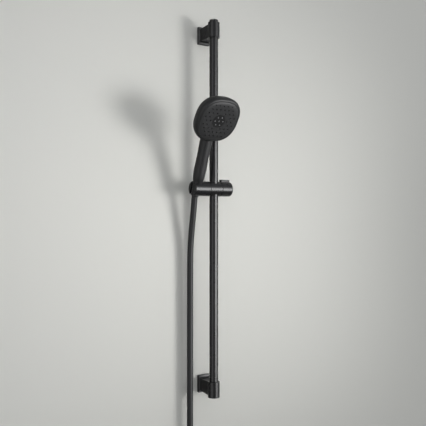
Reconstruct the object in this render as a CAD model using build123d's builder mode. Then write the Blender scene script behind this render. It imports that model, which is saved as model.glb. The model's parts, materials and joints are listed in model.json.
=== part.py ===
from build123d import *
import os
from math import copysign, cos, pi, radians, sin, tan

# Hand shower that rests in the tilting holder of a slider, on a riser rail with two wall brackets.
# +X runs right along the wall, +Y into the wall and +Z up. The wall is the plane Y = 0, and the
# origin lies midway between the two wall screws.

# Driving dimensions, in millimetres and degrees

# Clearances
fixed_fit = 0.05
running_fit = 0.06
moving_gap = 0.3

# Wall plates
screw_spacing = 900.0
screw_hole_d = 5.6
screw_head_d = 10.4
plate_width = 34.0
plate_height = 45.0
plate_thickness = 6.0
plate_corner = 1.5
plate_bevel = 0.8
stub_width = 17.0
stub_height = 20.0
stub_depth = 8.0

# Bracket arms and sleeves
standoff = 51.0
arm_width = 27.0
arm_outer = 16.3
arm_round = 1.0
foot_flare = 2.5
sleeve_d = 30.0
sleeve_length = 38.6
sleeve_offset = 5.2
sleeve_proud = 3.3
grub_d = 4.0
grub_sink = 0.4
grub_key_d = 2.0
grub_key_depth = 1.2

# Rail
rail_d = 22.0
rail_wall = 1.2
rail_overhang = 6.9
cap_flange = 1.2
cap_plug = 12.0
cap_round = 0.8

# Slider
slider_height = 52.5
slider_d = 37.0
slider_left = 19.2
slider_right = 15.6
seam_bevel = 0.8
seam_gap = 0.8
seam_depth = 1.0
bush_wall = 1.6
bush_slit = 2.0
bush_collar = 0.7
bush_collar_height = 5.0
brake_pin_d = 6.0
end_cap_length = 32.1
end_cap_round = 3.0
end_cap_key_d = 12.0
end_cap_key_length = 1.0

# Release button
button_start = 4.0
button_length = 25.5
button_width = 10.0
button_rise = 5.5
button_sink = 8.5
button_round = 1.0
button_travel = 3.0
stem_length = 6.0
stem_width = 6.0
stem_reach = 14.0
spring_leaf = 0.6
spring_width = 7.0
spring_height = 7.0

# Holder
spigot_d = 12.0
spigot_length = 13.8
pivot_screw_d = 4.0
pivot_head_d = 7.2
pivot_head_height = 3.0
pivot_thread = 12.0
pivot_wall = 2.5
pivot_key_d = 3.0
pivot_key_depth = 1.6
seat_beyond_screw = 13.65
seat_inset = 11.5
seat_top_d = 24.0
seat_bottom_d = 21.0
seat_mouth = 16.0
holder_round = 1.0

# Handset
handset_tilt = 21.0
foot_gap = 1.5
handle_foot_d = 24.8
handle_foot = 16.0
handle_d = 30.0
handle_neck_d = 30.7
handle_bore_d = 16.0
duct_d = 12.0
head_half = 57.1
head_squareness = 2.53
outline_point_count = 24
head_lean = 15.2
head_along = 181.4
head_forward = 36.7
head_depth = 38.6
face_share = 0.90
face_rim = 1.6
ledge_width = 5.5
chamber_depth = 12.0

# Spray face
spray_plate_thickness = 3.0
nozzle_mat_thickness = 2.0
distributor_thickness = 3.0
nozzle_pitch = 11.5
nozzle_hole_d = 3.2
nozzle_tip_d = 2.0
nozzle_rise = 0.8
nozzle_margin = 6.0
insert_d = 34.0
insert_rise = 0.3
jet_pitch = 11.0
jet_d = 4.0
jet_tip_d = 2.6
jet_rise = 1.0
water_hole_d = 6.0
water_hole_count = 10

# Inlet and hose fittings
thread_d = 20.6
waterway_d = 11.0
nut_end_gap = 1.0
nipple_collar = 1.1
nipple_spigot_d = 20.9
nipple_spigot = 20.0
thread_start = 3.0
hose_washer_thickness = 2.0
flange_thickness = 2.0
flange_d = 20.0
ferrule_d = 17.2
ferrule_bore_d = 9.0
ferrule_length = 18.0
limiter_thickness = 2.0
limiter_bore_d = 4.0
limiter_inset = 2.0
union_across_flats = 24.0
union_length = 20.0
union_shoulder = 3.0
union_neck_d = 14.0
union_flange_d = 18.4
union_thread_d = 20.9

# Hose: runs below the ferrule as (length, lean from the vertical), then the hang and the coil
hose_d = 15.5
hose_bend_share = 0.45
hose_runs = [(8.5, 21.0), (17.0, 15.5), (34.0, 10.0), (48.0, 7.5), (52.0, 3.4)]
coil_height = -663.0
coil_radius = 82.5
coil_pitch = 24.5
coil_second_turn = 270.0
coil_first_turn = 320.0
tie_width = 14.0
tie_thickness = 1.2

# Values worked out from the driving dimensions

screw_height = screw_spacing / 2
sleeve_r = sleeve_d / 2
rail_r = rail_d / 2
rail_bore_r = rail_r - rail_wall
sleeve_end = screw_height + sleeve_offset + sleeve_length / 2
rail_top = sleeve_end + rail_overhang - cap_flange
slider_r = slider_d / 2
handle_start = slider_r + foot_gap
slider_centre = Vector(0, -standoff, slider_height)
bush_r = rail_r + running_fit + bush_wall
collar_r = bush_r + bush_collar
recess_end = slider_left + spigot_length + moving_gap
screw_seat = recess_end + pivot_wall
screw_head_left = screw_seat + fixed_fit + pivot_head_height
seat_x = -(screw_head_left + seat_beyond_screw)
holder_right = slider_left + seam_gap
holder_left = seat_inset - seat_x
holder_length = holder_left - holder_right
holder_centre_x = (holder_left + holder_right) / 2
end_cap_x = slider_right + seam_gap
button_x = slider_right + button_start
head_tilt = handset_tilt + head_lean

# Axes along the handle, towards the room and back from the spray face
handle_dir = Vector(0, -sin(radians(handset_tilt)), cos(radians(handset_tilt)))
front_dir = Vector(0, -cos(radians(handset_tilt)), -sin(radians(handset_tilt)))
back_dir = Vector(0, cos(radians(head_tilt)), sin(radians(head_tilt)))
seat = Vector(seat_x, -standoff, slider_height)
face_centre = seat + handle_dir * head_along + front_dir * head_forward
handset = Plane(origin=seat, x_dir=(1, 0, 0), z_dir=handle_dir)
handset_section = Plane(origin=seat, x_dir=(1, 0, 0), z_dir=front_dir)
handset_axis = Axis(seat, handle_dir)
face = Plane(origin=face_centre, x_dir=(1, 0, 0), z_dir=back_dir)

os.makedirs("parts", exist_ok=True)


def keep(builder, name):
    """Label a finished piece and write it."""
    builder.part.label = name
    export_step(builder.part, f"parts/{name}.step")


def seat_radius(height):
    """Radius of the holder's cone seat at a height along the handset's axis."""
    middle = (seat_top_d + seat_bottom_d) / 4
    slope = (seat_top_d - seat_bottom_d) / 2 / slider_d
    return middle + slope * height


def soft_square(half):
    """Points of the head's outline, between a circle and a square."""
    power = 2 / head_squareness
    outline = []
    for i in range(outline_point_count):
        angle = 2 * pi * i / outline_point_count
        across = half * copysign(abs(cos(angle)) ** power, cos(angle))
        upward = half * copysign(abs(sin(angle)) ** power, sin(angle))
        outline.append((across, upward))
    return outline


def soft_square_face(half, depth):
    """Sketch of the head's outline, at a depth behind the spray face."""
    with BuildSketch(face.offset(depth)) as outline:
        with BuildLine():
            Spline(*soft_square(half), periodic=True)
        make_face()
    return outline.sketch


def nozzle_spots():
    """Centres of the nozzles: staggered rows over the face, outside the jet insert."""
    row_pitch = nozzle_pitch * sin(radians(60))
    limit = plate_half - nozzle_margin
    rows = int(limit / row_pitch)
    spots = []
    for row in range(-rows, rows + 1):
        shift = nozzle_pitch / 2 * (row % 2)
        columns = int(limit / nozzle_pitch) + 1
        for column in range(-columns, columns + 1):
            across = column * nozzle_pitch + shift
            upward = row * row_pitch
            inside = abs(across) ** head_squareness + abs(upward) ** head_squareness
            if inside > limit**head_squareness:
                continue
            if (across**2 + upward**2) ** 0.5 < insert_d / 2 + nozzle_hole_d:
                continue
            spots.append((across, upward))
    return spots


def jet_spots():
    """Centres of the seven jets: one in the middle and six around it."""
    around = [(jet_pitch * cos(radians(60 * i)), jet_pitch * sin(radians(60 * i))) for i in range(6)]
    return [(0, 0)] + around


# Rail

with BuildPart() as rail_tube:
    with BuildSketch(Plane.XY.offset(-sleeve_end)):
        with Locations((0, -standoff)):
            Circle(rail_r)
            Circle(rail_bore_r, mode=Mode.SUBTRACT)
    extrude(amount=sleeve_end + rail_top)
keep(rail_tube, "rail_tube")

with BuildPart() as upper_rail_cap:
    with Locations((0, -standoff, rail_top + cap_flange / 2)):
        Cylinder(rail_r, cap_flange)
    fillet(upper_rail_cap.edges().sort_by(Axis.Z)[-1], cap_round)
    with Locations((0, -standoff, rail_top - cap_plug / 2)):
        Cylinder(rail_bore_r - fixed_fit, cap_plug)
keep(upper_rail_cap, "upper_rail_cap")

with BuildPart() as lower_rail_cap:
    with Locations((0, -standoff, -sleeve_end - cap_flange / 2)):
        Cylinder(sleeve_r, cap_flange)
    fillet(lower_rail_cap.edges().sort_by(Axis.Z)[0], cap_round)
    with Locations((0, -standoff, -sleeve_end + cap_plug / 2)):
        Cylinder(rail_bore_r - fixed_fit, cap_plug)
keep(lower_rail_cap, "lower_rail_cap")

# Wall brackets, the lower one upside down

for place, up in (("upper", 1), ("lower", -1)):
    screw_z = up * screw_height
    sleeve_z = screw_z + up * sleeve_offset
    pocket_depth = stub_depth + moving_gap
    stub_middle = -(plate_thickness + stub_depth / 2)

    with BuildPart() as wall_plate:
        with BuildSketch(Plane.XZ):
            with Locations((0, screw_z)):
                RectangleRounded(plate_width, plate_height, plate_corner)
        extrude(amount=plate_thickness)
        chamfer(wall_plate.faces().sort_by(Axis.Y)[0].edges(), plate_bevel)
        with BuildSketch(Plane.XZ.offset(plate_thickness)):
            with Locations((0, screw_z)):
                Rectangle(stub_width, stub_height)
        extrude(amount=stub_depth)
        with Locations(Plane((0, -plate_thickness - stub_depth, screw_z), z_dir=(0, -1, 0))):
            CounterSinkHole(screw_hole_d / 2, screw_head_d / 2)
    keep(wall_plate, f"{place}_wall_plate")

    with BuildPart() as bracket:
        sleeve_start = up * (sleeve_end - sleeve_length)
        arm_top = screw_z + up * arm_outer
        foot_height = abs(arm_top - sleeve_start) + 2 * foot_flare
        with BuildSketch(Plane.YZ):
            Polygon(
                (-plate_thickness, arm_top),
                (-standoff, up * (sleeve_end - sleeve_proud)),
                (-standoff, sleeve_start),
                (-plate_thickness, sleeve_start),
                align=None,
            )
        extrude(amount=arm_width / 2, both=True)
        long_edges = bracket.edges().filter_by(Axis.X, reverse=True).filter_by(Axis.Z, reverse=True)
        fillet(long_edges, arm_round)
        with BuildSketch(Plane.XZ.offset(plate_thickness)):
            with Locations((0, (arm_top + sleeve_start) / 2)):
                Rectangle(arm_width + 2 * foot_flare, foot_height)
        extrude(amount=foot_flare, taper=45)
        with Locations((0, -standoff, sleeve_z)):
            Cylinder(sleeve_r, sleeve_length)
            Cylinder(rail_r + fixed_fit, 2 * sleeve_length, mode=Mode.SUBTRACT)
        with Locations((0, -plate_thickness - pocket_depth / 2, screw_z)):
            Box(
                stub_width + 2 * fixed_fit,
                pocket_depth,
                stub_height + 2 * fixed_fit,
                mode=Mode.SUBTRACT,
            )
        for middle, height in ((-standoff, sleeve_z), (stub_middle, screw_z)):
            with Locations((sleeve_r / 2, middle, height)):
                Cylinder(grub_d / 2 + fixed_fit, sleeve_r, rotation=(0, 90, 0), mode=Mode.SUBTRACT)
    keep(bracket, f"{place}_bracket")

    with BuildPart() as grub_screws:
        for start, end, middle, height in (
            (rail_r + fixed_fit, sleeve_r - grub_sink, -standoff, sleeve_z),
            (stub_width / 2 + fixed_fit, arm_width / 2 - grub_sink, stub_middle, screw_z),
        ):
            with BuildSketch(Plane((start, middle, height), z_dir=(1, 0, 0))):
                Circle(grub_d / 2)
            extrude(amount=end - start)
            with BuildSketch(Plane((end, middle, height), z_dir=(1, 0, 0))):
                RegularPolygon(grub_key_d / 2, 6)
            extrude(amount=-grub_key_depth, mode=Mode.SUBTRACT)
    keep(grub_screws, f"{place}_grub_screws")

# Slider

with BuildPart() as rail_bush:
    bush_height = slider_d - 2 * seam_bevel
    with Locations(slider_centre):
        Cylinder(bush_r, bush_height)
        Cylinder(collar_r, bush_collar_height)
        Cylinder(rail_r + running_fit, bush_height, mode=Mode.SUBTRACT)
        Cylinder(slider_r - seam_bevel, 2 * slider_d, rotation=(0, 90, 0), mode=Mode.INTERSECT)
    with Locations(slider_centre + Vector(0, rail_r, 0)):
        Box(bush_slit, rail_r, slider_d, mode=Mode.SUBTRACT)
keep(rail_bush, "rail_bush")

with BuildPart() as slider_body:
    with Locations(slider_centre + Vector((slider_right - slider_left) / 2, 0, 0)):
        Cylinder(slider_r, slider_left + slider_right, rotation=(0, 90, 0))
    chamfer(slider_body.edges().filter_by(GeomType.CIRCLE), seam_bevel)
    with Locations(slider_centre - Vector(slider_left + spigot_length / 2, 0, 0)):
        Cylinder(spigot_d / 2, spigot_length, rotation=(0, 90, 0))
    with Locations(slider_centre):
        Cylinder(bush_r + moving_gap, slider_d, mode=Mode.SUBTRACT)
        Cylinder(collar_r + moving_gap, bush_collar_height + 2 * moving_gap, mode=Mode.SUBTRACT)
    with Locations(slider_centre + Vector(slider_right / 2, 0, 0)):
        Cylinder(brake_pin_d / 2 + fixed_fit, slider_right, rotation=(0, 90, 0), mode=Mode.SUBTRACT)
    with Locations(slider_centre + Vector(slider_right, 0, 0)):
        Cylinder(
            end_cap_key_d / 2 + fixed_fit,
            2 * (end_cap_key_length + fixed_fit),
            rotation=(0, 90, 0),
            mode=Mode.SUBTRACT,
        )
    with Locations(slider_centre - Vector(slider_left + spigot_length - pivot_thread / 2, 0, 0)):
        Cylinder(
            pivot_screw_d / 2 + fixed_fit,
            pivot_thread + 2 * fixed_fit,
            rotation=(0, 90, 0),
            mode=Mode.SUBTRACT,
        )
keep(slider_body, "slider_body")

with BuildPart() as brake_pin:
    pin_start = collar_r + moving_gap + fixed_fit
    pin_end = button_x + moving_gap - fixed_fit
    with Locations(slider_centre + Vector((pin_start + pin_end) / 2, 0, 0)):
        Cylinder(brake_pin_d / 2, pin_end - pin_start, rotation=(0, 90, 0))
keep(brake_pin, "brake_pin")

# Floors of the button's pocket in the end cap, under the stem and under the spring
button_bottom = slider_r - button_sink
stem_floor = button_bottom - stem_reach - button_travel - moving_gap
spring_floor = button_bottom - spring_height - fixed_fit
stem_room = stem_length + moving_gap
pocket_length = button_length + 2 * moving_gap
pocket_width = button_width + 2 * moving_gap

with BuildPart() as end_cap:
    with Locations(slider_centre + Vector(end_cap_x + end_cap_length / 2, 0, 0)):
        Cylinder(slider_r, end_cap_length, rotation=(0, 90, 0))
    fillet(end_cap.edges().filter_by(GeomType.CIRCLE).sort_by(Axis.X)[-1], end_cap_round)
    chamfer(end_cap.edges().filter_by(GeomType.CIRCLE).sort_by(Axis.X)[0], seam_bevel)
    with Locations(slider_centre + Vector((slider_right + end_cap_x) / 2, 0, 0)):
        Cylinder(slider_r - seam_depth, seam_gap, rotation=(0, 90, 0))
    with Locations(slider_centre + Vector(slider_right - end_cap_key_length / 2, 0, 0)):
        Cylinder(end_cap_key_d / 2, end_cap_key_length, rotation=(0, 90, 0))
    with Locations(slider_centre + Vector(slider_right, 0, 0)):
        Cylinder(
            brake_pin_d / 2 + fixed_fit, 2 * button_start, rotation=(0, 90, 0), mode=Mode.SUBTRACT
        )
    for length, floor in ((pocket_length, spring_floor), (stem_room + moving_gap, stem_floor)):
        with Locations(slider_centre + Vector(button_x + length / 2, 0, (slider_r + floor) / 2)):
            Box(length, pocket_width, slider_r - floor, mode=Mode.SUBTRACT)
keep(end_cap, "end_cap")

with BuildPart() as release_button:
    bar_height = button_sink + button_rise
    bar_middle = button_x + moving_gap + button_length / 2
    with Locations(slider_centre + Vector(bar_middle, 0, button_bottom + bar_height / 2)):
        Box(button_length, button_width, bar_height)
    fillet(release_button.edges().filter_by(Axis.Z), button_round)
    fillet(release_button.faces().sort_by(Axis.Z)[-1].edges(), button_round)
    stem_middle = button_x + moving_gap + stem_length / 2
    with Locations(slider_centre + Vector(stem_middle, 0, button_bottom - stem_reach / 2)):
        Box(stem_length, stem_width, stem_reach)
keep(release_button, "release_button")

with BuildPart() as button_spring:
    spring_start = button_x + stem_room + 2 * moving_gap
    spring_end = button_x + pocket_length - moving_gap
    foot_z = slider_height + spring_floor + spring_leaf
    top_z = slider_height + button_bottom - fixed_fit
    with BuildSketch(Plane.XZ.offset(standoff)):
        with BuildLine():
            outer = ThreePointArc(
                (spring_start, foot_z), ((spring_start + spring_end) / 2, top_z), (spring_end, foot_z)
            )
            inner = ThreePointArc(
                (spring_start, foot_z - spring_leaf),
                ((spring_start + spring_end) / 2, top_z - spring_leaf),
                (spring_end, foot_z - spring_leaf),
            )
            Line(outer @ 0, inner @ 0)
            Line(outer @ 1, inner @ 1)
        make_face()
    extrude(amount=spring_width / 2, both=True)
keep(button_spring, "button_spring")

# Holder that tilts on the slider's spigot

with BuildPart() as friction_washer:
    with Locations(slider_centre - Vector(slider_left + seam_gap / 2, 0, 0)):
        Cylinder(slider_r - seam_depth, seam_gap, rotation=(0, 90, 0))
        Cylinder(spigot_d / 2 + moving_gap, seam_gap, rotation=(0, 90, 0), mode=Mode.SUBTRACT)
keep(friction_washer, "friction_washer")

with BuildPart() as holder:
    with Locations(slider_centre - Vector(holder_centre_x, 0, 0)):
        Cylinder(slider_r, holder_length, rotation=(0, 90, 0))
    chamfer(holder.edges().filter_by(GeomType.CIRCLE).sort_by(Axis.X)[-1], seam_bevel)
    fillet(holder.edges().filter_by(GeomType.CIRCLE).sort_by(Axis.X)[0], holder_round)
    with Locations(slider_centre - Vector((recess_end + holder_right) / 2, 0, 0)):
        Cylinder(
            spigot_d / 2 + moving_gap, recess_end - holder_right, rotation=(0, 90, 0), mode=Mode.SUBTRACT
        )
    with Locations(slider_centre - Vector((recess_end + screw_seat) / 2, 0, 0)):
        Cylinder(pivot_screw_d / 2 + moving_gap, pivot_wall, rotation=(0, 90, 0), mode=Mode.SUBTRACT)
    with Locations(slider_centre - Vector((screw_seat - seat_x) / 2, 0, 0)):
        Cylinder(
            pivot_head_d / 2 + moving_gap, -seat_x - screw_seat, rotation=(0, 90, 0), mode=Mode.SUBTRACT
        )
    with Locations(handset):
        Cone(seat_radius(-slider_d / 2), seat_radius(slider_d / 2), slider_d, mode=Mode.SUBTRACT)
        with Locations((-seat_inset, 0, 0)):
            Box(2 * seat_inset, seat_mouth, slider_d, mode=Mode.SUBTRACT)
keep(holder, "holder")

with BuildPart() as pivot_screw:
    with Locations(slider_centre - Vector(screw_head_left - pivot_head_height / 2, 0, 0)):
        Cylinder(pivot_head_d / 2, pivot_head_height, rotation=(0, 90, 0))
    shank_right = slider_left + spigot_length - pivot_thread
    shank_left = screw_head_left - pivot_head_height
    with Locations(slider_centre - Vector((shank_left + shank_right) / 2, 0, 0)):
        Cylinder(pivot_screw_d / 2, shank_left - shank_right, rotation=(0, 90, 0))
    with BuildSketch(Plane(slider_centre - Vector(screw_head_left, 0, 0), z_dir=(1, 0, 0))):
        RegularPolygon(pivot_key_d / 2, 6)
    extrude(amount=pivot_key_depth, mode=Mode.SUBTRACT)
keep(pivot_screw, "pivot_screw")

# Handset: sections of the head as (share of its depth, share of the full outline)
head_sections = [
    (0.0, face_share),
    (0.045, 0.965),
    (0.145, 1.0),
    (0.363, 0.995),
    (0.622, 0.945),
    (0.777, 0.85),
    (0.894, 0.70),
    (0.964, 0.50),
    (1.0, 0.25),
]
# Bend of the handle into the head: share of the way along, share of the way forward, lean, share of
# the neck's diameter
neck_sections = [
    (0.64, 0.0, 0.0, 1.0),
    (0.76, 0.044, 9.0, 0.966),
    (0.866, 0.19, 20.0, 0.83),
    (0.948, 0.38, 30.0, 0.595),
]
handle_sections = [
    (handle_start, 0.0, 0.0, handle_foot_d),
    (handle_start + handle_foot, 0.0, 0.0, handle_d),
    (0.414 * head_along, 0.0, 0.0, handle_d),
]
for along, forward, lean, share in neck_sections:
    handle_sections.append((along * head_along, forward * head_forward, lean, share * handle_neck_d))
face_half = head_half * face_share
plate_half = face_half - face_rim
chamber_half = plate_half - ledge_width
stack_depth = spray_plate_thickness + nozzle_mat_thickness + distributor_thickness
bore_top = neck_sections[1][0] * head_along
nipple_top = handle_start + nipple_spigot

with BuildPart() as handset_shell:
    loft([soft_square_face(head_half * share, head_depth * depth) for depth, share in head_sections])
    for height, bend, lean, diameter in handle_sections:
        middle = seat + handle_dir * height + front_dir * bend
        along = handle_dir * cos(radians(lean)) + front_dir * sin(radians(lean))
        with BuildSketch(Plane(origin=middle, x_dir=(1, 0, 0), z_dir=along)):
            Circle(diameter / 2)
    loft()
    extrude(soft_square_face(plate_half, 0), amount=stack_depth, mode=Mode.SUBTRACT)
    extrude(soft_square_face(chamber_half, stack_depth), amount=chamber_depth, mode=Mode.SUBTRACT)
    with BuildSketch(handset.offset(handle_start)):
        Circle(nipple_spigot_d / 2 + fixed_fit)
    extrude(amount=nipple_spigot + fixed_fit, mode=Mode.SUBTRACT)
    with BuildSketch(handset.offset(handle_start)):
        Circle(handle_bore_d / 2)
    extrude(amount=bore_top - handle_start, mode=Mode.SUBTRACT)
    duct_start = seat + handle_dir * (bore_top - handle_bore_d / 2)
    duct_end = face_centre + back_dir * (stack_depth + chamber_depth / 2)
    with BuildSketch(Plane(origin=duct_start, x_dir=(1, 0, 0), z_dir=duct_end - duct_start)):
        Circle(duct_d / 2)
    extrude(amount=(duct_end - duct_start).length / 2, mode=Mode.SUBTRACT)
keep(handset_shell, "handset_shell")

# Spray face, from the front to the back

with BuildPart() as spray_plate:
    extrude(soft_square_face(plate_half - fixed_fit, 0), amount=spray_plate_thickness)
    with BuildSketch(face):
        Circle(insert_d / 2 + fixed_fit)
        with Locations(*nozzle_spots()):
            Circle(nozzle_hole_d / 2)
    extrude(amount=spray_plate_thickness, mode=Mode.SUBTRACT)
keep(spray_plate, "spray_plate")

with BuildPart() as nozzle_mat:
    mat_face = soft_square_face(plate_half - fixed_fit, spray_plate_thickness)
    extrude(mat_face, amount=nozzle_mat_thickness)
    nozzle_height = spray_plate_thickness + nozzle_rise
    with Locations(face.offset(spray_plate_thickness - nozzle_height / 2)):
        with Locations(*nozzle_spots()):
            Cone(nozzle_tip_d / 2, nozzle_hole_d / 2 - fixed_fit, nozzle_height)
keep(nozzle_mat, "nozzle_mat")

with BuildPart() as jet_insert:
    with BuildSketch(face.offset(-insert_rise)):
        Circle(insert_d / 2)
    extrude(amount=spray_plate_thickness + insert_rise)
    with Locations(face.offset(-insert_rise - jet_rise / 2)):
        with Locations(*jet_spots()):
            Cone(jet_tip_d / 2, jet_d / 2, jet_rise)
keep(jet_insert, "jet_insert")

with BuildPart() as distributor:
    distributor_depth = spray_plate_thickness + nozzle_mat_thickness
    extrude(soft_square_face(plate_half - fixed_fit, distributor_depth), amount=distributor_thickness)
    with BuildSketch(face.offset(stack_depth)):
        with PolarLocations(chamber_half - 2 * water_hole_d, water_hole_count):
            Circle(water_hole_d / 2)
    extrude(amount=-distributor_thickness, mode=Mode.SUBTRACT)
keep(distributor, "distributor")

# Inlet at the handle's foot, turned about the handset's axis

thread_end = handle_start - nipple_collar
washer_start = thread_start - hose_washer_thickness
flange_start = washer_start - flange_thickness
ferrule_end = flange_start - ferrule_length


def turned(name, outline):
    """Piece of revolution about the handset's axis, from (radius, height) points."""
    with BuildPart() as piece:
        with BuildSketch(handset_section):
            Polygon(*outline, align=None)
        revolve(axis=handset_axis)
    keep(piece, name)


turned(
    "inlet_nipple",
    [
        (waterway_d / 2, thread_start),
        (thread_d / 2, thread_start),
        (thread_d / 2, thread_end),
        (seat_top_d / 2, thread_end),
        (seat_top_d / 2, handle_start),
        (nipple_spigot_d / 2, handle_start),
        (nipple_spigot_d / 2, nipple_top),
        (waterway_d / 2, nipple_top),
    ],
)
turned(
    "flow_limiter",
    [
        (limiter_bore_d / 2, thread_start + limiter_inset),
        (waterway_d / 2 - fixed_fit, thread_start + limiter_inset),
        (waterway_d / 2 - fixed_fit, thread_start + limiter_inset + limiter_thickness),
        (limiter_bore_d / 2, thread_start + limiter_inset + limiter_thickness),
    ],
)
turned(
    "hose_washer",
    [
        (waterway_d / 2, washer_start),
        (flange_d / 2, washer_start),
        (flange_d / 2, thread_start),
        (waterway_d / 2, thread_start),
    ],
)

nut_bottom = -slider_r + nut_end_gap
nut_top = thread_end - fixed_fit
nut_bore_r = thread_d / 2 + fixed_fit
turned(
    "cone_nut",
    [
        (ferrule_d / 2 + fixed_fit, nut_bottom),
        (seat_radius(nut_bottom) - fixed_fit, nut_bottom),
        (seat_radius(nut_top) - fixed_fit, nut_top),
        (nut_bore_r, nut_top),
        (nut_bore_r, flange_start),
        (ferrule_d / 2 + fixed_fit, flange_start),
    ],
)
turned(
    "hose_ferrule_top",
    [
        (ferrule_bore_d / 2, ferrule_end),
        (ferrule_d / 2, ferrule_end),
        (ferrule_d / 2, flange_start),
        (flange_d / 2, flange_start),
        (flange_d / 2, washer_start),
        (ferrule_bore_d / 2, washer_start),
    ],
)

# Hose, straight out of the ferrule and then hanging down to the coil

hose_start = seat + handle_dir * ferrule_end
hose_route = [hose_start]
for length, lean in hose_runs:
    step = Vector(0, sin(radians(lean)), -cos(radians(lean))) * length
    hose_route.append(hose_route[-1] + step)
hang = hose_route[-1].Z - coil_height
hose_route.append(hose_route[-1] - Vector(0, 0, hang))

hose_radii = []
for before, corner, after in zip(hose_route, hose_route[1:], hose_route[2:]):
    shorter_run = min((corner - before).length, (after - corner).length)
    turn = (corner - before).get_angle(after - corner)
    hose_radii.append(hose_bend_share * shorter_run / tan(radians(turn / 2)))
print("hose radii:", [round(radius) for radius in hose_radii])

with BuildPart() as hose_tube:
    with BuildLine() as hose_line:
        FilletPolyline(*hose_route, radius=hose_radii)
    with BuildSketch(Plane(origin=hose_start, z_dir=hose_route[1] - hose_start)):
        Circle(hose_d / 2)
    sweep()
keep(hose_tube, "hose_tube")

# Coil in the plane across the wall, two turns side by side, wound down and towards the room

coil_entry = hose_route[-1]
coil_middle = Vector(coil_entry.X, coil_entry.Y - coil_radius, coil_height)
coil_axis = Axis(coil_middle, (-1, 0, 0))
coil_top = coil_middle + Vector(coil_pitch, 0, coil_radius)

with BuildPart() as hose_coil:
    with BuildSketch(Plane(origin=coil_entry, z_dir=(0, 0, 1))):
        with Locations((coil_pitch / 2, 0)):
            SlotOverall(coil_pitch + hose_d, hose_d)
    revolve(axis=coil_axis, revolution_arc=coil_second_turn)
    with BuildSketch(Plane(origin=coil_middle + Vector(0, 0, coil_radius), z_dir=(0, 1, 0))):
        Circle(hose_d / 2)
    revolve(axis=coil_axis, revolution_arc=coil_first_turn - coil_second_turn)
keep(hose_coil, "hose_coil")

with BuildPart() as hose_tie:
    tie_bulge = tie_width**2 / (8 * coil_radius)
    tie_room = hose_d + 2 * (moving_gap + tie_bulge)
    tie_middle = coil_middle + Vector(coil_pitch / 2, -coil_radius, 0)
    with BuildSketch(Plane(origin=tie_middle - Vector(0, 0, tie_width / 2))):
        SlotOverall(coil_pitch + tie_room + 2 * tie_thickness, tie_room + 2 * tie_thickness)
        SlotOverall(coil_pitch + tie_room, tie_room, mode=Mode.SUBTRACT)
    extrude(amount=tie_width)
keep(hose_tie, "hose_tie")

# Fittings of the hose's far end, which points back at the wall from the top of the coil

union_section = Plane(origin=coil_top, x_dir=(1, 0, 0), z_dir=(0, 0, 1))
union_axis = Axis(coil_top, (0, 1, 0))
neck_end = ferrule_length + moving_gap
flange_end = neck_end + flange_thickness
union_start = ferrule_length - union_shoulder
union_end = union_start + union_length
thread_floor = flange_end + hose_washer_thickness + moving_gap

with BuildPart() as hose_ferrule_end:
    with BuildSketch(union_section):
        Polygon(
            (ferrule_bore_d / 2, 0),
            (ferrule_d / 2, 0),
            (ferrule_d / 2, union_start - moving_gap),
            (union_neck_d / 2, union_start - moving_gap),
            (union_neck_d / 2, neck_end),
            (union_flange_d / 2, neck_end),
            (union_flange_d / 2, flange_end),
            (ferrule_bore_d / 2, flange_end),
            align=None,
        )
    revolve(axis=union_axis)
keep(hose_ferrule_end, "hose_ferrule_end")

with BuildPart() as union_washer:
    with BuildSketch(Plane(origin=coil_top + Vector(0, flange_end, 0), z_dir=(0, 1, 0))):
        Circle(union_flange_d / 2)
        Circle(waterway_d / 2, mode=Mode.SUBTRACT)
    extrude(amount=hose_washer_thickness)
keep(union_washer, "union_washer")

with BuildPart() as union_nut:
    with BuildSketch(Plane(origin=coil_top + Vector(0, union_start, 0), z_dir=(0, 1, 0))):
        RegularPolygon(union_across_flats / 2, 6, major_radius=False)
        Circle(union_neck_d / 2 + moving_gap, mode=Mode.SUBTRACT)
    extrude(amount=union_length)
    with BuildSketch(Plane(origin=coil_top + Vector(0, ferrule_length, 0), z_dir=(0, 1, 0))):
        Circle(union_flange_d / 2 + moving_gap)
    extrude(amount=thread_floor - ferrule_length, mode=Mode.SUBTRACT)
    with BuildSketch(Plane(origin=coil_top + Vector(0, thread_floor, 0), z_dir=(0, 1, 0))):
        Circle(union_thread_d / 2)
    extrude(amount=union_end - thread_floor, mode=Mode.SUBTRACT)
keep(union_nut, "union_nut")
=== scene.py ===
"""Looks of a hand shower rail set: its finishes, its hose, the wall behind it and the photograph's view."""

import json
from math import cos, pi, radians, sin, tan

import bpy
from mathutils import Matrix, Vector


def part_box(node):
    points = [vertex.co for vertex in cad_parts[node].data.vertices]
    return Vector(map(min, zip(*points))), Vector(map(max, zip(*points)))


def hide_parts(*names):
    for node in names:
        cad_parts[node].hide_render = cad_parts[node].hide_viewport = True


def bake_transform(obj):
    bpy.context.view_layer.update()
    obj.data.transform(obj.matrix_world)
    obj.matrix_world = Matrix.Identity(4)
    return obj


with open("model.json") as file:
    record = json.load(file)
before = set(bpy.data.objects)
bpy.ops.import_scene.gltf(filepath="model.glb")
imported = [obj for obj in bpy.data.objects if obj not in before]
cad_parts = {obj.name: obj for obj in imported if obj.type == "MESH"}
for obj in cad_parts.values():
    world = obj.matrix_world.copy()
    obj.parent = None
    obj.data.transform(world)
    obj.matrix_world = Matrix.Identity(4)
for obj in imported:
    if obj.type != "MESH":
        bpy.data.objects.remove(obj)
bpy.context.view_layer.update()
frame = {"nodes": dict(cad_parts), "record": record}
nodes = frame["nodes"]


# Materials: one Principled shader each, with procedural detail in the object's own coordinates


def shader_of(material):
    return material.node_tree.nodes["Principled BSDF"]


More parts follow.
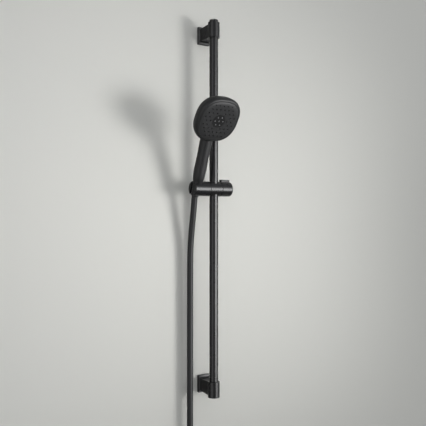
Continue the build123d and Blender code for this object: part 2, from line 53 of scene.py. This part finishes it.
def finish(name, **settings):
    """A new material whose shader has these constants, by the names of its sockets."""
    material = bpy.data.materials.new(name)
    material.use_nodes = True
    for socket, value in settings.items():
        shader_of(material).inputs[socket.replace("_", " ")].default_value = value
    return material


def grain(material, size, detail=2.0, stretch=(1, 1, 1)):
    """Noise whose features are about size metres wide, drawn out along an axis where stretch is above 1."""
    tree = material.node_tree
    place = tree.nodes.new("ShaderNodeTexCoord")
    scale = tree.nodes.new("ShaderNodeMapping")
    scale.inputs["Scale"].default_value = [1 / (size * s) for s in stretch]
    noise = tree.nodes.new("ShaderNodeTexNoise")
    noise.inputs["Scale"].default_value = 1.0
    noise.inputs["Detail"].default_value = detail
    tree.links.new(place.outputs["Object"], scale.inputs["Vector"])
    tree.links.new(scale.outputs["Vector"], noise.inputs["Vector"])
    return noise.outputs["Fac"]


def along(material, point, direction):
    """Distance along a direction from a point, in metres."""
    tree = material.node_tree
    place = tree.nodes.new("ShaderNodeTexCoord")
    offset = tree.nodes.new("ShaderNodeVectorMath")
    offset.operation = "SUBTRACT"
    offset.inputs[1].default_value = point
    distance = tree.nodes.new("ShaderNodeVectorMath")
    distance.operation = "DOT_PRODUCT"
    distance.inputs[1].default_value = direction
    tree.links.new(place.outputs["Object"], offset.inputs[0])
    tree.links.new(offset.outputs["Vector"], distance.inputs[0])
    return distance.outputs["Value"]


def calculate(material, operation, first, second):
    """Result of a maths operation on a texture and a constant or another texture."""
    tree = material.node_tree
    maths = tree.nodes.new("ShaderNodeMath")
    maths.operation = operation
    tree.links.new(first, maths.inputs[0])
    if isinstance(second, (int, float)):
        maths.inputs[1].default_value = second
    else:
        tree.links.new(second, maths.inputs[1])
    return maths.outputs["Value"]


def spread(material, texture, source, target):
    """A texture's values, taken from one range to another."""
    tree = material.node_tree
    ramp = tree.nodes.new("ShaderNodeMapRange")
    for socket, value in zip(("From Min", "From Max", "To Min", "To Max"), (*source, *target)):
        ramp.inputs[socket].default_value = value
    tree.links.new(texture, ramp.inputs["Value"])
    return ramp.outputs["Result"]


def tint(material, texture, first, second):
    """Colour the material from first to second by a texture."""
    tree = material.node_tree
    blend = tree.nodes.new("ShaderNodeMix")
    blend.data_type = "RGBA"
    blend.inputs["A"].default_value = (*first, 1)
    blend.inputs["B"].default_value = (*second, 1)
    tree.links.new(texture, blend.inputs["Factor"])
    tree.links.new(blend.outputs["Result"], shader_of(material).inputs["Base Color"])


def polish(material, texture, low, high):
    """Roughness from low to high by a texture."""
    rough = spread(material, texture, (0.3, 0.7), (low, high))
    material.node_tree.links.new(rough, shader_of(material).inputs["Roughness"])


def relief(material, texture, depth):
    """Bumps of a texture, depth metres high, on top of any that are there."""
    tree = material.node_tree
    bump = tree.nodes.new("ShaderNodeBump")
    bump.inputs["Distance"].default_value = depth
    for link in shader_of(material).inputs["Normal"].links:
        tree.links.new(link.from_socket, bump.inputs["Normal"])
    tree.links.new(texture, bump.inputs["Height"])
    tree.links.new(bump.outputs["Normal"], shader_of(material).inputs["Normal"])


def lacquer():
    """Satin black powder coat: a fine orange peel under an even sheen."""
    material = finish("satin_black", Specular_IOR_Level=0.25)
    tint(material, grain(material, 0.04), (0.005, 0.005, 0.0055), (0.008, 0.008, 0.0085))
    polish(material, grain(material, 0.012, detail=4), 0.27, 0.29)
    relief(material, grain(material, 0.0016), 0.000001)
    return material


def moulding():
    """Matte black moulded plastic with a fine spark texture."""
    material = finish("black_plastic", Specular_IOR_Level=0.22)
    tint(material, grain(material, 0.03), (0.009, 0.009, 0.0095), (0.013, 0.013, 0.0135))
    polish(material, grain(material, 0.01, detail=4), 0.44, 0.50)
    relief(material, grain(material, 0.0008), 0.000006)
    return material


# Face of the head: its normal, towards the room and down, its upward direction and its outline
FACE_TILT = radians(36.2)
FACE_NORMAL = Vector((0, -cos(FACE_TILT), -sin(FACE_TILT)))
FACE_UP = Vector((0, -sin(FACE_TILT), cos(FACE_TILT)))
FACE_HALF = 0.0498
FACE_SQUARENESS = 2.53
PLATE_HALF = 0.0015

# Border of the face: share of the outline at which it begins to fall, how far, and on which power
BORDER_START = 0.68
BORDER_FALL = 0.0017
BORDER_POWER = 3

# Heights above the face between which the jets turn pale
JET_FOOT, JET_TIP = 0.0005, 0.0008


def face_middle():
    """Middle of the spray face, on its front."""
    low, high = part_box("spray_plate")
    return (low + high) / 2 + FACE_NORMAL * PLATE_HALF


def from_middle(material):
    """Distance from the middle of the face, as a share of its rounded square outline."""
    powers = []
    for direction in ((1, 0, 0), FACE_UP):
        share = along(material, face_middle(), direction)
        share = calculate(material, "DIVIDE", share, FACE_HALF)
        share = calculate(material, "MULTIPLY", share, share)
        share = calculate(material, "POWER", share, FACE_SQUARENESS / 2)
        powers.append(share)
    return calculate(material, "POWER", calculate(material, "ADD", *powers), 1 / FACE_SQUARENESS)


def face_plastic():
    """Dark grey face of the head, a little lighter than the shell, whose border falls off softly."""
    material = finish("spray_face", Specular_IOR_Level=0.33)
    border = spread(material, from_middle(material), (BORDER_START, 1.0), (0.0, 1.0))
    relief(material, calculate(material, "POWER", border, BORDER_POWER), -BORDER_FALL)
    tint(material, grain(material, 0.02), (0.011, 0.011, 0.012), (0.015, 0.015, 0.016))
    polish(material, grain(material, 0.006, detail=4), 0.42, 0.48)
    relief(material, grain(material, 0.0006), 0.000005)
    return material


def jet_face():
    """Dark disc whose jets, which stand proud of it, are pale."""
    material = finish("jet_face", Specular_IOR_Level=0.26)
    height = along(material, face_middle(), FACE_NORMAL)
    tint(
        material,
        spread(material, height, (JET_FOOT, JET_TIP), (0.0, 1.0)),
        (0.007, 0.007, 0.0074),
        (0.16, 0.16, 0.163),
    )
    polish(material, grain(material, 0.003, detail=3), 0.34, 0.44)
    relief(material, grain(material, 0.0005), 0.00001)
    return material


def silicone(name, gloss, first, second):
    """Soft dark rubber, coloured from first to second."""
    material = finish(name, Specular_IOR_Level=gloss)
    tint(material, grain(material, 0.004), first, second)
    polish(material, grain(material, 0.003), 0.55, 0.70)
    relief(material, grain(material, 0.0004), 0.00001)
    return material


def hose_cover():
    """Smooth black plastic skin of the hose, with a faint drawing line along it."""
    material = finish("hose_cover", Specular_IOR_Level=0.2)
    tint(material, grain(material, 0.03), (0.008, 0.008, 0.0085), (0.012, 0.012, 0.0125))
    polish(material, grain(material, 0.004, detail=3, stretch=(1, 1, 20)), 0.44, 0.54)
    relief(material, grain(material, 0.0012, stretch=(1, 1, 30)), 0.00002)
    return material


def natural_plastic():
    """Pale inner plastic, slightly cloudy."""
    material = finish("inner_plastic", Subsurface_Weight=0.1, Subsurface_Scale=0.002)
    tint(material, grain(material, 0.006), (0.62, 0.62, 0.59), (0.70, 0.70, 0.67))
    polish(material, grain(material, 0.004), 0.35, 0.48)
    relief(material, grain(material, 0.0008), 0.00001)
    return material


def turned_steel():
    """Plain steel with fine rings left by the tool."""
    material = finish("steel", Metallic=1.0)
    tint(material, grain(material, 0.005), (0.36, 0.36, 0.37), (0.46, 0.46, 0.47))
    polish(material, grain(material, 0.002, detail=3), 0.25, 0.37)
    relief(material, grain(material, 0.0005, stretch=(6, 6, 1)), 0.00001)
    return material


finishes = {
    "satin_black": lacquer(),
    "black_plastic": moulding(),
    "spray_face": face_plastic(),
    "nozzle_rubber": silicone("nozzle_rubber", 0.06, (0.002, 0.002, 0.002), (0.003, 0.003, 0.003)),
    "jet_face": jet_face(),
    "inner_plastic": natural_plastic(),
    "hose_cover": hose_cover(),
    "rubber": silicone("rubber", 0.35, (0.008, 0.008, 0.009), (0.014, 0.014, 0.015)),
    "steel": turned_steel(),
}

for part in frame["record"]["subparts"]:
    node = nodes[part["node"]]
    node.data.materials.clear()
    node.data.materials.append(finishes[part["material_slot"]])


# Hose: route of the hang, then a coil of nearly two turns whose end carries the union

HOSE_DIAMETER = 0.0155
HOSE_X = -0.0525
HANG_Y = -0.02135
COIL_RADIUS = 0.0825
COIL_HEIGHT = -0.663
COIL_STEP = radians(22.5)
COIL_TURN = radians(630)

# How far beside the first turn the second one lies, and how much further its end stands out
TURN_PITCH = 0.0158
END_PITCH = 0.0087

hang = [
    (HOSE_X, -0.04419, 0.03476),
    (HOSE_X, -0.04210, 0.02682),
    (HOSE_X, -0.04020, 0.01044),
    (HOSE_X, -0.03430, -0.02304),
    (HOSE_X, -0.02600, -0.07063),
    (HOSE_X, HANG_Y, -0.12254),
    (HOSE_X, HANG_Y, COIL_HEIGHT + COIL_RADIUS * tan(COIL_STEP / 2)),
]


def ease(value, start, end):
    """Smooth step from 0 to 1."""
    share = min(max((value - start) / (end - start), 0), 1)
    return share * share * (3 - 2 * share)


def beside(turn):
    """How far along X the coil has moved at a turn: beside itself, and out again near its end."""
    second = TURN_PITCH * ease(turn, radians(275), radians(340))
    last = END_PITCH * ease(turn, radians(430), radians(520))
    return second + last


def coil_point(turn, radius):
    """Point of the coil, which winds from the wall down, out to the room and back over its top."""
    across = HANG_Y - COIL_RADIUS + radius * cos(turn)
    return HOSE_X + beside(turn), across, COIL_HEIGHT - radius * sin(turn)


coil = []
turn = COIL_STEP / 2
while turn < COIL_TURN:
    coil.append(coil_point(turn, COIL_RADIUS / cos(COIL_STEP / 2)))
    turn += COIL_STEP
coil.append(coil_point(COIL_TURN, COIL_RADIUS))


def hose_spline(points):
    """Curve object with one NURBS spline that follows the route."""
    curve = bpy.data.curves.new("hose_line", "CURVE")
    curve.dimensions = "3D"
    spline = curve.splines.new("NURBS")
    spline.points.add(len(points) - 1)
    for target, point in zip(spline.points, points):
        target.co = (*point, 1)
    spline.order_u = 3
    spline.use_endpoint_u = True
    spline.resolution_u = 12
    line = bpy.data.objects.new("hose_line", curve)
    bpy.context.scene.collection.objects.link(line)
    return line


def mesh_of(line):
    """The curve object's present shape as a mesh."""
    bpy.context.view_layer.update()
    return bpy.data.meshes.new_from_object(line.evaluated_get(bpy.context.evaluated_depsgraph_get()))


line = hose_spline(hang + coil)
path = [tuple(v.co) for v in mesh_of(line).vertices]
line.data.bevel_depth = HOSE_DIAMETER / 2
line.data.bevel_resolution = 6
line.data.use_fill_caps = True
hose = bpy.data.objects.new("hose", mesh_of(line))
bpy.data.objects.remove(line)
bpy.context.scene.collection.objects.link(hose)
hose.data.shade_smooth()
hose.data.materials.clear()
hose.data.materials.append(finishes["hose_cover"])
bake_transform(hose)
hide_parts("hose_tube", "hose_coil")


# Wall, floor and light

STAGE_WIDTH = 6
WALL_GAP = 0.0005
FLOOR_HEIGHT = -1.55


def plain(name, place, turn, colour):
    """Stage plane that is only there from its front."""
    bpy.ops.mesh.primitive_plane_add(size=1, location=place, rotation=turn)
    plane = bpy.context.object
    plane.name = name
    plane.scale = (STAGE_WIDTH, STAGE_WIDTH, 1)
    material = finish(name, Roughness=0.85, Specular_IOR_Level=0.0)
    tint(material, grain(material, 0.35), colour, [c * 0.97 for c in colour])
    relief(material, grain(material, 0.004, detail=4), 0.0001)
    tree = material.node_tree
    side = tree.nodes.new("ShaderNodeNewGeometry")
    clear = tree.nodes.new("ShaderNodeBsdfTransparent")
    choose = tree.nodes.new("ShaderNodeMixShader")
    tree.links.new(side.outputs["Backfacing"], choose.inputs[0])
    tree.links.new(shader_of(material).outputs["BSDF"], choose.inputs[1])
    tree.links.new(clear.outputs["BSDF"], choose.inputs[2])
    tree.links.new(choose.outputs["Shader"], tree.nodes["Material Output"].inputs["Surface"])
    plane.data.materials.append(material)


plain("wall", (0, WALL_GAP, 0), (radians(90), 0, 0), (0.64, 0.635, 0.598))
plain("floor", (0, -STAGE_WIDTH / 2, FLOOR_HEIGHT), (0, 0, 0), (0.5, 0.5, 0.48))


def softbox(name, place, aim, size, watts, cone=180):
    """Area light at place that looks at aim, with its light kept within a cone, in degrees."""
    lamp = bpy.data.lights.new(name, "AREA")
    lamp.shape = "RECTANGLE"
    lamp.size, lamp.size_y = size
    lamp.energy = watts
    lamp.spread = radians(cone)
    light = bpy.data.objects.new(name, lamp)
    light.location = place
    light.rotation_euler = (Vector(aim) - Vector(place)).to_track_quat("-Z", "Y").to_euler()
    bpy.context.scene.collection.objects.link(light)
    return light


# A beam casts the shadows. A bright window in a taller dim one and a faint fill only shine on the finishes.
beam = softbox("beam", (1.43, -1.65, -0.2), (-0.1, 0, 0), (0.85, 1.05), 2.2, cone=32)
beam.visible_glossy = False
for height, watts in ((2.3, 390), (4.8, 120)):
    window = softbox("window", (2.1, -3.86, -0.38), (0, 0, -0.38), (3.1, height), watts)
    window.visible_diffuse = False
fill = softbox("fill", (-2.0, -0.85, 0), (0, 0, 0), (1.5, 2.6), 22)
fill.visible_diffuse = False


def studio(low, high, seen):
    """World with light from low, below, to high, above, which the camera sees as one plain colour."""
    world = bpy.data.worlds.new("studio")
    world.use_nodes = True
    tree = world.node_tree
    light = tree.nodes["Background"]
    place = tree.nodes.new("ShaderNodeTexCoord")
    height = tree.nodes.new("ShaderNodeSeparateXYZ")
    strength = tree.nodes.new("ShaderNodeMapRange")
    strength.inputs["From Min"].default_value = -1
    strength.inputs["To Min"].default_value = low
    strength.inputs["To Max"].default_value = high
    light.inputs["Color"].default_value = (0.95, 0.97, 1.0, 1)
    backdrop = tree.nodes.new("ShaderNodeBackground")
    backdrop.inputs["Color"].default_value = (*seen, 1)
    ray = tree.nodes.new("ShaderNodeLightPath")
    choose = tree.nodes.new("ShaderNodeMixShader")
    tree.links.new(place.outputs["Generated"], height.inputs["Vector"])
    tree.links.new(height.outputs["Z"], strength.inputs["Value"])
    tree.links.new(strength.outputs["Result"], light.inputs["Strength"])
    tree.links.new(ray.outputs["Is Camera Ray"], choose.inputs[0])
    tree.links.new(light.outputs["Background"], choose.inputs[1])
    tree.links.new(backdrop.outputs["Background"], choose.inputs[2])
    tree.links.new(choose.outputs["Shader"], tree.nodes["World Output"].inputs["Surface"])
    return world


bpy.context.scene.world = studio(0.80, 0.78, (0.66, 0.66, 0.64))


# Camera: level, at the left of the wall's normal, aimed at the rail and moved a little aside

FRAME_PIXELS = 426
FOCAL_PIXELS = 650
SENSOR = 36
VIEW = radians(34)
AIM = Vector((0, -0.051, -0.0083))
DISTANCE = 1.65
ASIDE = 0.0019
forward = Vector((sin(VIEW), cos(VIEW), 0))
right = Vector((cos(VIEW), -sin(VIEW), 0))
camera = bpy.data.objects.new("camera", bpy.data.cameras.new("camera"))
camera.data.sensor_width = SENSOR
camera.data.lens = FOCAL_PIXELS / FRAME_PIXELS * SENSOR
camera.location = AIM - forward * DISTANCE - right * ASIDE
camera.rotation_euler = (pi / 2, 0, -VIEW)
bpy.context.scene.collection.objects.link(camera)
bpy.context.scene.camera = camera
bpy.context.scene.view_settings.view_transform = "Standard"
